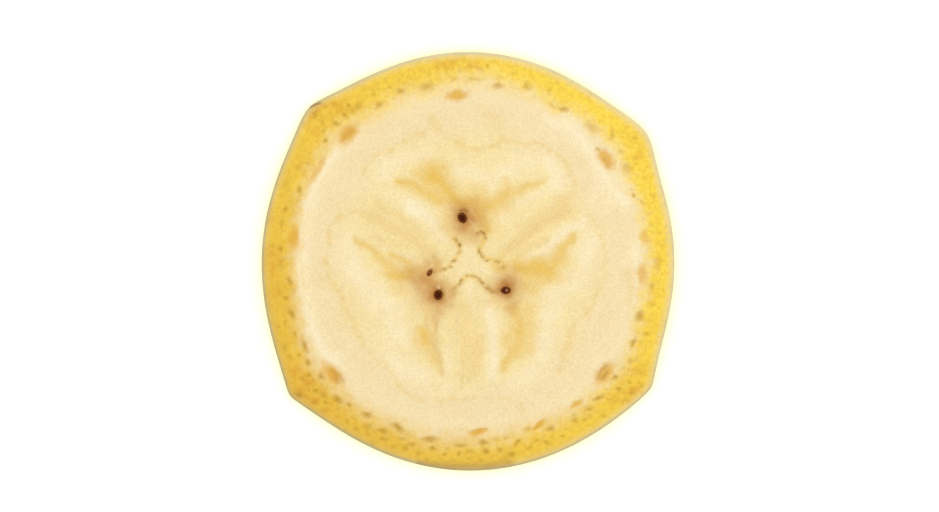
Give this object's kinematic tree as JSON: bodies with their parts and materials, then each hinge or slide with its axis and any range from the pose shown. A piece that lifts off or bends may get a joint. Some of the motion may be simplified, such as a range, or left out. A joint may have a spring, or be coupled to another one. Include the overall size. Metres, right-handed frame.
{
  "type": "banana slice",
  "caption": "Cross-cut slice of ripe banana with its peel on: a ridged ring of peel round pale flesh with small dark undeveloped seeds.",
  "frame": {"origin": "on the surface that the slice lies on, under the middle of its box", "axes": "+Z is the fruit's length and points out of the upper cut face; +Y is the top of the slice as seen from above in the picture"},
  "size_m": [0.0362, 0.0366, 0.01],
  "materials": {
    "peel": "satin",
    "flesh": "satin",
    "seed": "satin"
  },
  "bodies": {
    "root": {"peel": "peel", "flesh": "flesh", "seed_top_1": "seed", "seed_top_2": "seed", "seed_top_3": "seed", "seed_top_4": "seed", "seed_bottom_1": "seed", "seed_bottom_2": "seed", "seed_bottom_3": "seed"}
  },
  "joints": []
}
